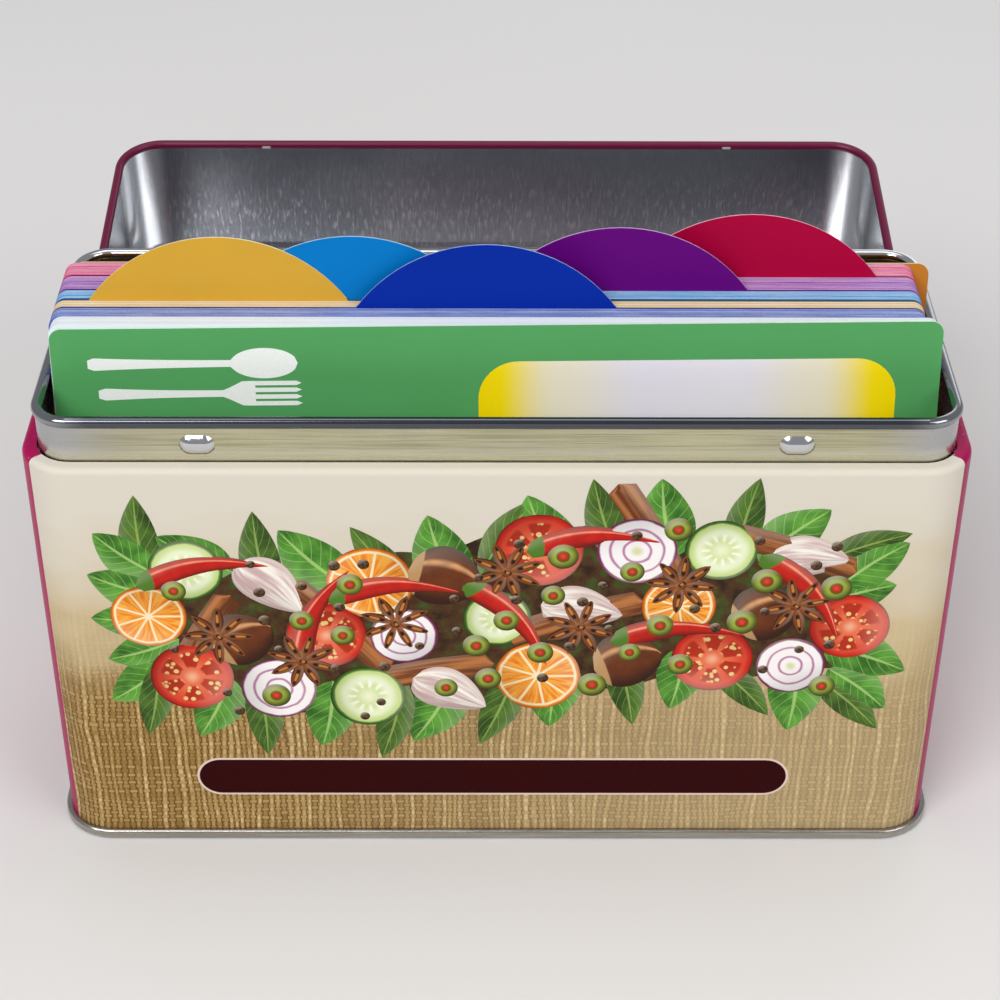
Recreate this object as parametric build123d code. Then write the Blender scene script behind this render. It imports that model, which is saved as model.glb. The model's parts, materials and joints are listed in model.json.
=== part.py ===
from build123d import *
import os
from math import cos, radians, sin

# Recipe tin: a hinged tinplate box for index cards, standing with its lid folded back and
# its cards and tabbed dividers inside.
# Millimetres. Origin at the bottom centre of the box, +X right, +Y to the hinge, +Z up.

# Index cards, the 6 by 4 inch size that the tin is made for
card_width = 152.4
card_height = 101.6
card_stock = 0.34
card_gap = 0.06
card_corner = 2.2
card_lean = 9.0
card_front_room = 0.5
card_floor_room = 0.05
white_card_shift = -0.35
back_card_shift = 0.7

# Coloured cards and dividers: a little narrower, and pushed to the left
coloured_card_trim = 1.5
coloured_card_shift = -1.45

# Cover card: a little shorter, and it stands askew on its left corner
cover_card_trim = 0.7
cover_card_tilt = 0.65
cover_card_shift = 0.9

# Half-moon tabs of the dividers, five places spread evenly over the divider's width
tab_chord = 44.9
tab_rise = 11.5
tab_side_room = 6.7
tab_offset = -0.45

# Tinplate and the fits between its pieces
sheet = 0.3
sheet_fit = 0.05
overrun = 1.0

# Box wall
body_depth = 64.4
corner_radius = 9.1
shoulder_radius = 1.1
shoulder_gap = 0.35
lock_seam_width = 4.0
lock_seam_rise = 0.3
lock_seam_room = 0.5

# Neck collar with its rolled rim and two snap domes
card_side_room = 1.0
card_show = 9.55
neck_rise = 8.5
bead = 1.9
bead_overhang = 0.5
bead_inset = 2.4
neck_skirt = 6.0
dome_length = 6.1
dome_width = 3.9
dome_rise = 0.9
dome_from_side = 30.9

# Seamed-on bottom
seam_out = 1.05
seam_height = 2.1
seam_lip = 0.5
seam_round = 0.6
floor_height = 1.75

# Lid
lid_overhang = 0.25
lid_front_overhang = 1.1
lid_seat_gap = 0.2
lid_headroom = 1.5
lid_top_radius = 3.0
hem = 1.75
hem_out = 0.1
lid_open_angle = 170.5

# Hinges: a stamped leaf on the box, one on the lid and a wire pin, left and right
hinge_from_side = 34.5
hinge_drop = 7.7
leaf_width = 30.0
leaf_sheet = 0.45
leaf_length = 13.0
leaf_rise = 9.0
leaf_corner = 2.0
pin_diameter = 1.6
pin_clearance = 0.05
knuckle_wall = 0.45
knuckle_sink = 0.1
lid_knuckle_length = 11.0
knuckle_side_gap = 0.3
pin_head_diameter = 2.2
pin_head_length = 0.6
pin_head_gap = 0.1

# Shares: how round a rolled edge is, against a full roll of its own thickness
roll_share = 0.46

# Sizes that follow: the cards set the box's width and height
lean = radians(card_lean)
card_pitch = card_stock + card_gap
tab_radius = (tab_chord**2 / 4 + tab_rise**2) / (2 * tab_rise)
coloured_width = card_width - coloured_card_trim
tab_step = (coloured_width - tab_chord - 2 * tab_side_room) / 4
foot_height = floor_height + card_floor_room
card_top = foot_height + card_height * cos(lean)
tab_top = card_top + tab_rise * cos(lean)

body_width = card_width + 2 * (card_side_room + bead + bead_inset)
back_face = body_depth / 2
rim_height = card_top - card_show
shoulder_height = rim_height - neck_rise
neck_inset = bead_inset + bead_overhang
ledge_top = shoulder_height - shoulder_radius - sheet_fit
ledge_bottom = ledge_top - sheet
dome_offset = body_width / 2 - dome_from_side
dome_height = shoulder_height + (neck_rise - bead) / 2

lid_width = body_width + 2 * lid_overhang
lid_depth = body_depth + lid_overhang + lid_front_overhang
lid_middle = (lid_overhang - lid_front_overhang) / 2
lid_bottom = shoulder_height + lid_seat_gap
lid_top = tab_top + lid_headroom + sheet
lid_corner = corner_radius + lid_overhang

hinge_offset = body_width / 2 - hinge_from_side
hole_radius = pin_diameter / 2 + pin_clearance
knuckle_radius = hole_radius + knuckle_wall
lid_leaf_front = back_face + lid_overhang + hem_out
hinge_y = lid_leaf_front + knuckle_radius - knuckle_sink
hinge_z = shoulder_height - hinge_drop
hinge_axis = Axis((0, hinge_y, hinge_z), (-1, 0, 0))


def slab(width, depth, corner, low, high, middle=0):
    """A rounded rectangle from one height to another."""
    outline = RectangleRounded(width, depth, corner)
    return Pos(0, middle, low) * extrude(outline, high - low)


def inset_slab(inset, low, high):
    """A slab that follows the box's outline, so far inside it (or outside, below zero)."""
    return slab(body_width - 2 * inset, body_depth - 2 * inset, corner_radius - inset, low, high)


def inset_ring(inset, thickness, low, high):
    """A band that follows the box's outline, so far inside it."""
    return inset_slab(inset, low, high) - inset_slab(inset + thickness, low - overrun, high + overrun)


def level_edges(shape, place):
    """The edges that lie at the lowest (0) or highest (-1) level of a shape."""
    return shape.edges().group_by(Axis.Z)[place]


def rolled(ring, thickness):
    """A band whose long edges are rounded over, as a rolled edge is."""
    edges = level_edges(ring, 0) + level_edges(ring, -1)
    return fillet(edges, thickness * roll_share)


def block(x_low, x_high, y_low, y_high, z_low, z_high):
    """A box between two corners."""
    middle = Pos((x_low + x_high) / 2, (y_low + y_high) / 2, (z_low + z_high) / 2)
    return middle * Box(x_high - x_low, y_high - y_low, z_high - z_low)


def rod(radius, x_low, x_high):
    """A round bar on the hinge line."""
    middle = Pos((x_low + x_high) / 2, hinge_y, hinge_z)
    return middle * Rot(0, 90, 0) * Cylinder(radius, x_high - x_low)


def box_wall():
    """The wrapped wall: its top turns in to a shoulder, and a lock seam closes it at the back."""
    outer = inset_slab(0, seam_lip, shoulder_height)
    outer = fillet(level_edges(outer, -1), shoulder_radius)
    hollow = inset_slab(sheet, seam_lip - overrun, shoulder_height - sheet)
    hollow = fillet(level_edges(hollow, -1), shoulder_radius - sheet)
    mouth = inset_slab(neck_inset - shoulder_gap, ledge_top, shoulder_height + overrun)
    lock_seam = block(
        -lock_seam_width / 2, lock_seam_width / 2,
        back_face - sheet / 2, back_face + lock_seam_rise,
        seam_height + lock_seam_room, shoulder_height - shoulder_radius - lock_seam_room,
    )
    return outer - hollow - mouth + lock_seam


def long_ball(radius):
    """A ball drawn out sideways, for a dome that is longer than it is tall."""
    length = dome_length - dome_width + 2 * radius
    profile = SlotOverall(length, 2 * radius) & Pos(0, radius / 2) * Rectangle(length, radius)
    return revolve(profile, Axis.X)


def snap_dome(side):
    """The long ball of a pressed dome on the collar's front, and the smaller one of its hollow."""
    half_chord = dome_width / 2
    radius = (half_chord**2 + dome_rise**2) / (2 * dome_rise)
    collar_front = -back_face + neck_inset
    centre = Pos(side * dome_offset, collar_front - dome_rise + radius, dome_height)
    return centre * long_ball(radius), centre * long_ball(radius - sheet)


def neck_collar():
    """The sleeve that the lid closes over: a rolled rim above, a ledge and a skirt inside the wall."""
    collar = inset_ring(neck_inset, sheet, ledge_bottom, rim_height - bead / 2)
    collar += inset_ring(sheet + sheet_fit, neck_inset - sheet_fit, ledge_bottom, ledge_top)
    collar += inset_ring(sheet + sheet_fit, sheet, ledge_top - neck_skirt, ledge_top)
    collar += rolled(inset_ring(bead_inset, bead, rim_height - bead, rim_height), bead)
    front_half = block(
        -body_width, body_width, -body_depth, -back_face + neck_inset + sheet / 2, ledge_top, rim_height
    )
    for side in (-1, 1):
        ball, hollow = snap_dome(side)
        collar += ball & front_half
        collar -= hollow & block(-body_width, body_width, -body_depth, 0, ledge_top, rim_height)
    return collar


def bottom_plate():
    """The base: a seam ring that grips the wall's lower edge, and a floor that stands clear of the table."""
    plate = inset_slab(-seam_out, 0, seam_height)
    plate = fillet(level_edges(plate, 0) + level_edges(plate, -1), seam_round)
    plate -= inset_ring(-sheet_fit, sheet + 2 * sheet_fit, seam_lip, seam_height + overrun)
    chuck_wall = sheet + sheet_fit + sheet
    plate -= inset_slab(chuck_wall, floor_height, seam_height + overrun)
    plate -= inset_slab(chuck_wall, -overrun, floor_height - sheet)
    return plate


def rounded_leaf(low, high, front, corner_place):
    """A hinge leaf's plate, with two rounded corners at its free end."""
    plate = block(-leaf_width / 2, leaf_width / 2, front, front + leaf_sheet, low, high)
    corners = plate.edges().filter_by(Axis.Y).group_by(Axis.Z)[corner_place]
    return fillet(corners, leaf_corner)


def box_leaf():
    """The leaf on the box's back: two outer knuckles stand up from its plate."""
    plate_top = hinge_z - knuckle_radius - knuckle_side_gap
    leaf = rounded_leaf(hinge_z - leaf_length, plate_top, back_face, 0)
    inner_end = lid_knuckle_length / 2 + knuckle_side_gap
    for low, high in ((-leaf_width / 2, -inner_end), (inner_end, leaf_width / 2)):
        leaf += block(low, high, back_face, back_face + leaf_sheet, plate_top - leaf_sheet, hinge_z)
        leaf += rod(knuckle_radius, low, high)
    return leaf - rod(hole_radius, -leaf_width, leaf_width)


def lid_leaf():
    """The leaf on the lid's back, as it lies with the lid shut: one middle knuckle hangs from its plate."""
    front = lid_leaf_front
    plate_bottom = hinge_z + knuckle_radius + knuckle_side_gap
    leaf = rounded_leaf(plate_bottom, lid_bottom + leaf_rise, front, -1)
    half = lid_knuckle_length / 2
    leaf += block(-half, half, front, front + leaf_sheet, hinge_z, plate_bottom + leaf_sheet)
    leaf += rod(knuckle_radius, -half, half)
    return leaf - rod(hole_radius, -leaf_width, leaf_width)


def hinge_pin():
    """The wire pin, with a head upset at each end."""
    end = leaf_width / 2 + pin_head_gap
    pin = rod(pin_diameter / 2, -end - pin_head_length, end + pin_head_length)
    for low in (-end - pin_head_length, end):
        pin += rod(pin_head_diameter / 2, low, low + pin_head_length)
    return pin


def lid_slab(inset, low, high):
    """A slab that follows the lid's outline, so far inside it."""
    return slab(lid_width - 2 * inset, lid_depth - 2 * inset, lid_corner - inset, low, high, lid_middle)


def lid_shell():
    """The drawn lid as it lies shut: a flat top, a deep skirt and a hem rolled to the inside."""
    outer = lid_slab(0, lid_bottom + hem / 2, lid_top)
    outer = fillet(level_edges(outer, -1), lid_top_radius)
    hollow = lid_slab(sheet, lid_bottom - overrun, lid_top - sheet)
    hollow = fillet(level_edges(hollow, -1), lid_top_radius - sheet)
    hem_top = lid_bottom + hem
    hem_ring = lid_slab(-hem_out, lid_bottom, hem_top)
    hem_ring -= lid_slab(hem - hem_out, lid_bottom - overrun, hem_top + overrun)
    return outer - hollow + rolled(hem_ring, hem)


def opened(shape):
    """A piece of the lid, swung from shut to its place on the open lid."""
    return shape.rotate(hinge_axis, lid_open_angle)


def card_outline(width=card_width, height=card_height):
    """A plain card, standing on its long edge."""
    return Pos(0, height / 2) * RectangleRounded(width, height, card_corner)


def cover_outline():
    """The cover card, tipped up about its lower left corner."""
    corner = Pos(-card_width / 2, 0)
    tilted = corner * Rot(0, 0, cover_card_tilt) * corner.inverse()
    return tilted * card_outline(height=card_height - cover_card_trim)


def divider_outline(tab_place):
    """A card with a half-moon tab, whose place is counted in steps from the middle."""
    tab = Circle(tab_radius) & Pos(0, tab_radius - tab_rise / 2) * Rectangle(2 * tab_radius, tab_rise)
    root = Pos(0, tab_radius - tab_rise - card_corner / 2) * Rectangle(tab_chord, card_corner)
    half_moon = tab + (Circle(tab_radius) & root)
    tab_middle = tab_offset + tab_place * tab_step
    card = card_outline(coloured_width)
    return card + Pos(tab_middle, card_height + tab_rise - tab_radius) * half_moon


def standing_card(outline, count_before, side_shift):
    """A card in its place in the leaning stack: its back lower edge stands on the tin's floor."""
    depth = ((count_before + 1) * card_pitch - card_gap) / cos(lean)
    front_wall = -back_face + sheet + sheet_fit + sheet
    foot = (side_shift, front_wall + card_front_room + depth, foot_height)
    back = Plane(origin=foot, x_dir=(1, 0, 0), z_dir=(0, -cos(lean), sin(lean)))
    return extrude(back * outline, card_stock)


# The stack from front to back: name, number of cards, sideways shift, outline
shift = coloured_card_shift
coloured = card_outline(coloured_width)
stack = (
    ("cover_card", 1, cover_card_shift, cover_outline()),
    ("white_cards", 7, white_card_shift, card_outline()),
    ("blue_cards", 7, shift, coloured),
    ("dark_blue_divider", 1, shift, divider_outline(0)),
    ("gold_cards", 5, shift, coloured),
    ("gold_divider", 1, shift, divider_outline(-2)),
    ("light_blue_divider", 1, shift, divider_outline(-1)),
    ("light_blue_cards", 7, shift, coloured),
    ("purple_divider", 1, shift, divider_outline(1)),
    ("purple_cards", 11, shift, coloured),
    ("crimson_divider", 1, shift, divider_outline(2)),
    ("pink_cards", 11, shift, coloured),
    ("back_card", 1, back_card_shift, card_outline()),
)


def card_stack():
    """Every card and divider, a node for each group."""
    nodes = {}
    count_before = 0
    for name, cards, side_shift, outline in stack:
        group = [standing_card(outline, count_before + place, side_shift) for place in range(cards)]
        nodes[name] = group[0] if cards == 1 else Compound(children=group)
        count_before += cards
    return nodes


def all_pieces():
    """Every piece of the tin by its node name."""
    nodes = {
        "box_wall": box_wall(),
        "neck_collar": neck_collar(),
        "bottom_plate": bottom_plate(),
        "lid_shell": opened(lid_shell()),
    }
    for side, sign in (("left", -1), ("right", 1)):
        place = Pos(sign * hinge_offset, 0, 0)
        nodes[side + "_box_hinge_leaf"] = place * box_leaf()
        nodes[side + "_lid_hinge_leaf"] = opened(place * lid_leaf())
        nodes[side + "_hinge_pin"] = place * hinge_pin()
    nodes.update(card_stack())
    return nodes


os.makedirs("parts", exist_ok=True)
for node_name, piece in all_pieces().items():
    export_step(piece, os.path.join("parts", node_name + ".step"))
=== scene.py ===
import json
from collections import defaultdict
from math import pi, radians, sin
from random import Random

import bmesh
import bpy
from mathutils import Matrix, Vector


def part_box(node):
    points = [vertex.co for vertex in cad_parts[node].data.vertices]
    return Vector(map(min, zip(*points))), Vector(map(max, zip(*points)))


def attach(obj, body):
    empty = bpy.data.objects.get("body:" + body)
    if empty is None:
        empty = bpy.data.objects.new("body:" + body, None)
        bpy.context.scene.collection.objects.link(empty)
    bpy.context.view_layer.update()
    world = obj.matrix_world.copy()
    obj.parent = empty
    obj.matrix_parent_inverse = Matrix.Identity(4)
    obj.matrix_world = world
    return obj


# Looks of the recipe tin: tinplate printed and lacquered outside and bare inside, with its stack of
# index cards and tabbed dividers. Metres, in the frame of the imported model; finishes count in millimetres.
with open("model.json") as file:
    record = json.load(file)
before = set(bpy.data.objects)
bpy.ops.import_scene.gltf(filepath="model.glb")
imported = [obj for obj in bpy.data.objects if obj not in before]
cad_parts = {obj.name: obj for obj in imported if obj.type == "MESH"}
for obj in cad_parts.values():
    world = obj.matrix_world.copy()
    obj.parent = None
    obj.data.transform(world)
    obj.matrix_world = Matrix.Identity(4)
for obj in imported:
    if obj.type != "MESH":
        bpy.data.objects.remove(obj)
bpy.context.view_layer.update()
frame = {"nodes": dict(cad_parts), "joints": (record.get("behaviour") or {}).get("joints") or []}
bpy.ops.object.select_all(action="DESELECT")
nodes = frame["nodes"]
joints = {joint["name"]: joint for joint in frame["joints"]}
mm = 0.001
per_mm = 1000

# Places read from the frame
wall_low, wall_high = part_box("box_wall")
front_face = wall_low.y
rim_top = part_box("neck_collar")[1].z
lid_joint = joints["lid_hinge"]
lid_turn = radians(lid_joint["range_deg"][1] - lid_joint["range_deg"][0])
hinge_line = Vector(lid_joint["pos_m"])
card_up = Vector(joints["cover_card_lift"]["axis"])
card_back = Vector((0, card_up.z, -card_up.y))
cover_points = [vertex.co for vertex in nodes["cover_card"].data.vertices]
stack_front = min(point.dot(card_back) for point in cover_points)
card_points = [vertex.co for vertex in nodes["white_cards"].data.vertices]
card_top = max(point.z for point in card_points)
card_foot = min(point.dot(card_up) for point in card_points)
white_low, white_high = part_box("white_cards")
card_half = (white_high.x - white_low.x) / 2

# Sizes and heights of the tin in millimetres, for its finishes
neck_inset = 2.9
rim_bead = 1.9
corner_radius = 9.1
collar_front = front_face * per_mm + neck_inset
corner_start = wall_high.x * per_mm - corner_radius
corner_middle = front_face * per_mm + corner_radius
shoulder_height = wall_high.z * per_mm
bead_foot = rim_top * per_mm - rim_bead

# The cover card stands askew on its lower left corner, as the frame has it; lengths in millimetres
cover_tilt = radians(0.65)
cover_shift = 0.9
cover_height = 100.9

# The print on the front in millimetres: the garland, the band, and how far the inks stand proud.
# The thickness of a motif at its rim is the relief times the motif's own rise.
garland_length = 134
garland_height = 51.5
garland_wave = 4.5
garland_wave_reach = 19
band_place = (-0.65, 15.1)
band_width = 109
band_height = 8.2
keyline_width = 0.45
ink_relief = 0.4
shade_rise = 0.05
leaf_rise = (0.08, 0.14)
motif_rise = (0.18, 0.24)
small_rise = (0.3, 0.36)
keyline_rise = 0.1
band_rise = 0.14

# Colours of the print, the lacquer and the tin
cream = "DAD3C4"
raspberry = "A80A52"
burgundy = "660834"
tin_grey = "BDBBB4"

# Sockets of the shader that hold one value all over a surface
socket_names = {"metallic": "Metallic", "roughness": "Roughness", "shine": "Specular IOR Level"}


def paint(code):
    """A colour written as six hexadecimal digits, as the shader takes it."""
    channels = [int(code[place:place + 2], 16) / 255 for place in (0, 2, 4)]
    return [part / 12.92 if part <= 0.04045 else ((part + 0.055) / 1.055) ** 2.4 for part in channels] + [1]


class Finish:
    """A surface finish, put together node by node round one shader."""

    def __init__(self, name, **constants):
        self.material = bpy.data.materials.new(name)
        self.material.use_nodes = True
        self.tree = self.material.node_tree
        self.tree.nodes.clear()
        self.shader = self.put("ShaderNodeBsdfPrincipled")
        output = self.put("ShaderNodeOutputMaterial")
        self.tree.links.new(self.shader.outputs["BSDF"], output.inputs["Surface"])
        for words, value in constants.items():
            self.give(socket_names[words], value)

    def put(self, kind, **settings):
        """Adds a node."""
        node = self.tree.nodes.new(kind)
        for key, value in settings.items():
            setattr(node, key, value)
        return node

    def feed(self, socket, value):
        """Links a socket to another node's output, or sets it."""
        if isinstance(value, bpy.types.NodeSocket):
            self.tree.links.new(value, socket)
        else:
            socket.default_value = paint(value) if isinstance(value, str) else value

    def give(self, socket_name, value):
        """Feeds a socket of the shader itself."""
        self.feed(self.shader.inputs[socket_name], value)

    def calc(self, operation, *values):
        """The result of one step of arithmetic."""
        node = self.put("ShaderNodeMath", operation=operation)
        for socket, value in zip(node.inputs, values):
            self.feed(socket, value)
        return node.outputs[0]

    def dot(self, vector, direction):
        """How far a vector reaches along a direction."""
        node = self.put("ShaderNodeVectorMath", operation="DOT_PRODUCT")
        self.feed(node.inputs[0], vector)
        self.feed(node.inputs[1], direction)
        return node.outputs["Value"]

    def mix(self, share, first, second):
        """A share of the second colour over the first."""
        node = self.put("ShaderNodeMix", data_type="RGBA", blend_type="MIX")
        for place, value in ((0, share), (6, first), (7, second)):
            self.feed(node.inputs[place], value)
        return node.outputs[2]

    def step(self, value, low, high, from_share=0.0, to_share=1.0):
        """A smooth step from one share to another while the value goes from low to high."""
        node = self.put("ShaderNodeMapRange", interpolation_type="SMOOTHSTEP")
        for place, number in enumerate((value, low, high, from_share, to_share)):
            self.feed(node.inputs[place], number)
        return node.outputs[0]

    def ramp(self, share, *stops):
        """A colour that goes from stop to stop as the share grows."""
        node = self.put("ShaderNodeValToRGB")
        node.color_ramp.interpolation = "EASE"
        points = node.color_ramp.elements
        while len(points) < len(stops):
            points.new(1)
        for point, (place, colour) in zip(points, stops):
            point.position = place
            point.color = paint(colour)
        self.feed(node.inputs[0], share)
        return node.outputs["Color"]

    def noise(self, vector, scale, detail=2.0, seed=(0, 0, 0)):
        """Noise with so many waves to the unit along each axis."""
        stretch = self.put("ShaderNodeMapping")
        self.feed(stretch.inputs["Vector"], vector)
        stretch.inputs["Location"].default_value = seed
        stretch.inputs["Scale"].default_value = scale
        node = self.put("ShaderNodeTexNoise")
        node.inputs["Scale"].default_value = 1
        node.inputs["Detail"].default_value = detail
        self.tree.links.new(stretch.outputs[0], node.inputs["Vector"])
        return node.outputs["Fac"]

    def place(self, turn=0.0, about=(0, 0, 0)):
        """Object coordinates in millimetres, turned about a line along X."""
        centre = Vector(about) * per_mm
        swing = Matrix.Rotation(turn, 3, "X")
        node = self.put("ShaderNodeMapping")
        self.feed(node.inputs["Vector"], self.put("ShaderNodeTexCoord").outputs["Object"])
        node.inputs["Location"].default_value = centre - swing @ centre
        node.inputs["Rotation"].default_value = (turn, 0, 0)
        node.inputs["Scale"].default_value = (per_mm, per_mm, per_mm)
        return node.outputs[0]

    def facing(self, turn=0.0):
        """The surface's own direction, turned in the same way."""
        node = self.put("ShaderNodeMapping", vector_type="VECTOR")
        self.feed(node.inputs["Vector"], self.put("ShaderNodeTexCoord").outputs["Normal"])
        node.inputs["Rotation"].default_value = (turn, 0, 0)
        return node.outputs[0]

    def axes(self, vector):
        """The three parts of a vector."""
        node = self.put("ShaderNodeSeparateXYZ")
        self.feed(node.inputs[0], vector)
        return node.outputs[0], node.outputs[1], node.outputs[2]

    def bump(self, height, strength, rise):
        """Fine relief, with its rise in millimetres."""
        node = self.put("ShaderNodeBump")
        node.inputs["Strength"].default_value = strength
        node.inputs["Distance"].default_value = rise * mm
        self.feed(node.inputs["Height"], height)
        self.give("Normal", node.outputs[0])


def outward(finish, place, facing, centre):
    """1 on surfaces that face away from a point inside the shell, 0 on the inner ones."""
    shift = finish.put("ShaderNodeVectorMath", operation="SUBTRACT")
    finish.feed(shift.inputs[0], place)
    shift.inputs[1].default_value = centre
    return finish.calc("GREATER_THAN", finish.dot(shift.outputs[0], facing), 0)


def threads(finish, along, pitch):
    """Threads side by side: 1 on the crest of each and 0 between two, its number and its chance tone."""
    count = finish.calc("DIVIDE", along, pitch)
    crest = finish.step(finish.calc("PINGPONG", count, 0.5), 0.02, 0.36)
    number = finish.calc("FLOOR", count)
    chance = finish.put("ShaderNodeTexWhiteNoise", noise_dimensions="1D")
    finish.feed(chance.inputs["W"], number)
    return crest, number, finish.step(chance.outputs["Value"], 0, 1, 0.55, 1)


def past_corner(finish, x):
    """How far a point of the wall lies sideways past the start of a rounded corner."""
    return finish.calc("MAXIMUM", finish.calc("SUBTRACT", finish.calc("ABSOLUTE", x), corner_start), 0)


def along_wall(finish, x):
    """The way from the middle of the front along the sheet, round the corners too."""
    share = finish.calc("MINIMUM", finish.calc("DIVIDE", past_corner(finish, x), corner_radius), 1)
    arc = finish.calc("MULTIPLY", finish.calc("ARCSINE", share), corner_radius)
    straight = finish.calc("MINIMUM", finish.calc("ABSOLUTE", x), corner_start)
    return finish.calc("MULTIPLY", finish.calc("SIGN", x), finish.calc("ADD", straight, arc))


def linen(finish, place, x, z):
    """The printed ground of the front: cream above, coarse plain-woven linen below."""
    warp_pitch = 1.15
    weft_pitch = 0.95
    drift_reach = 26
    cream_fade = (28, 100)
    weave_fade = (70, 38)
    pale_side = (-60, 60)
    drift = finish.noise(place, (0.05, 0.05, 0.09), 3)
    wander = finish.calc("MULTIPLY", finish.noise(place, (0.12, 0.12, 0.05), 2), 3)
    sag = finish.calc("MULTIPLY", finish.noise(place, (0.05, 0.05, 0.2), 2, (5, 0, 0)), 2.4)
    along = finish.calc("ADD", along_wall(finish, x), wander)
    warp, column, warp_tone = threads(finish, along, warp_pitch)
    weft, row, weft_tone = threads(finish, finish.calc("ADD", z, sag), weft_pitch)
    over = finish.calc("PINGPONG", finish.calc("ADD", column, row), 1)
    slub = finish.step(finish.noise(place, (1.6, 1.6, 0.3), 3, (40, 0, 7)), 0.25, 0.75, 0.65, 1.1)
    upright = finish.calc("MULTIPLY", finish.calc("MULTIPLY", warp, warp_tone), slub)
    level = finish.calc("MULTIPLY", finish.calc("MULTIPLY", weft, weft_tone), 0.72)
    warp_over = finish.calc("MULTIPLY", upright, finish.calc("SUBTRACT", 1, over))
    crossing = finish.calc("ADD", warp_over, finish.calc("MULTIPLY", level, over))
    weave = finish.calc("MAXIMUM", crossing, finish.calc("MULTIPLY", upright, 0.8))
    woven = finish.ramp(weave, (0, "523816"), (0.35, "8A6832"), (0.7, "B6965E"), (1, "D8C092"))
    woven = finish.mix(finish.step(x, *pale_side, 0, 0.4), woven, "D6C49E")
    height = finish.calc("ADD", z, finish.calc("MULTIPLY", drift, drift_reach))
    soft = finish.ramp(finish.step(height, *cream_fade), (0, "B2935E"), (0.4, "CCB78E"), (1, cream))
    return finish.mix(finish.step(height, *weave_fade, 0, 0.9), soft, woven)


def lacquer_colour(finish, place, colour):
    """Lacquer that is a little uneven, as a rolled-on coat is."""
    cloud = finish.noise(place, (0.03, 0.03, 0.04), 2)
    return finish.mix(finish.step(cloud, 0.3, 0.75, 0, 0.14), colour, "3A0018")


def tin_colour(finish, place, colour, brush):
    """Bare tin with fine brush lines; gives its colour, its roughness and the height of the lines."""
    lines = finish.noise(place, brush, 4)
    bloom = finish.noise(place, (0.06, 0.06, 0.06), 3, (9, 4, 2))
    dull = finish.mix(finish.step(bloom, 0.3, 0.75, 0, 0.4), colour, "9A9890")
    tone = finish.mix(finish.step(lines, 0.4, 0.72, 0, 0.16), dull, "F1F0EC")
    return tone, finish.step(lines, 0.2, 0.8, 0.2, 0.34), lines


def bare_tin(name, colour, brush):
    """A piece of bare tin all over."""
    finish = Finish(name, metallic=1.0)
    tone, rough, lines = tin_colour(finish, finish.place(), colour, brush)
    finish.give("Base Color", tone)
    finish.give("Roughness", rough)
    finish.bump(lines, 0.08, 0.02)
    return finish.material


def collar_tin():
    """The neck collar: brushed tin, a polished rim and snap domes, with painted reflections warm in front
    and pale at the foot.
    """
    warm_reflection_ends = (62, 76)
    warm_reflection_depth = (collar_front + 1.5, collar_front + 8)
    shoulder_reflection_band = (shoulder_height + 3.4, shoulder_height + 0.6)
    far_rim_reflection = (4, 26)
    rim_corner_reflection = (68, 77)
    finish = Finish("collar_tin", metallic=1.0)
    place = finish.place()
    x, y, z = finish.axes(place)
    sideways = finish.calc("ABSOLUTE", x)
    tone, rough, lines = tin_colour(finish, place, "C6C19C", (0.06, 2.4, 2.4))
    streak = finish.noise(place, (0.05, 3.2, 3.2), 4, (2, 6, 3))
    tone = finish.mix(finish.step(streak, 0.56, 0.36, 0, 0.42), tone, "8C8762")
    # The warm olive tone in front is a painted reflection; towards the ends and the back the tin is silver.
    clear_of_warm_reflection = finish.calc("MAXIMUM", finish.step(sideways, *warm_reflection_ends), finish.step(y, *warm_reflection_depth))
    tone = finish.mix(clear_of_warm_reflection, tone, "B6B6B8")
    # Paler towards the foot: a painted reflection of the cream shoulder below.
    tone = finish.mix(finish.step(z, *shoulder_reflection_band, 0, 0.6), tone, "E4E2D2")
    rim = finish.step(z, bead_foot - 0.2, bead_foot + 0.1)
    proud = finish.step(y, collar_front - 0.04, collar_front - 0.1)
    dome = finish.calc("MULTIPLY", finish.calc("SUBTRACT", 1, rim), proud)
    # The rim is painted dark in front and bright at the back and the corners: a painted reflection.
    rim_reflection = finish.calc("MAXIMUM", finish.step(y, *far_rim_reflection), finish.step(sideways, *rim_corner_reflection, 0, 0.5))
    tone = finish.mix(rim, tone, finish.mix(rim_reflection, "5A5D64", "C8CACC"))
    finish.give("Base Color", finish.mix(dome, tone, "D2D2D4"))
    polished = finish.calc("MAXIMUM", rim, dome)
    matt = finish.calc("MULTIPLY", rough, finish.calc("SUBTRACT", 1, polished))
    finish.give("Roughness", finish.calc("ADD", finish.calc("MULTIPLY", polished, 0.12), matt))
    finish.bump(lines, 0.06, 0.02)
    return finish.material


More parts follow.
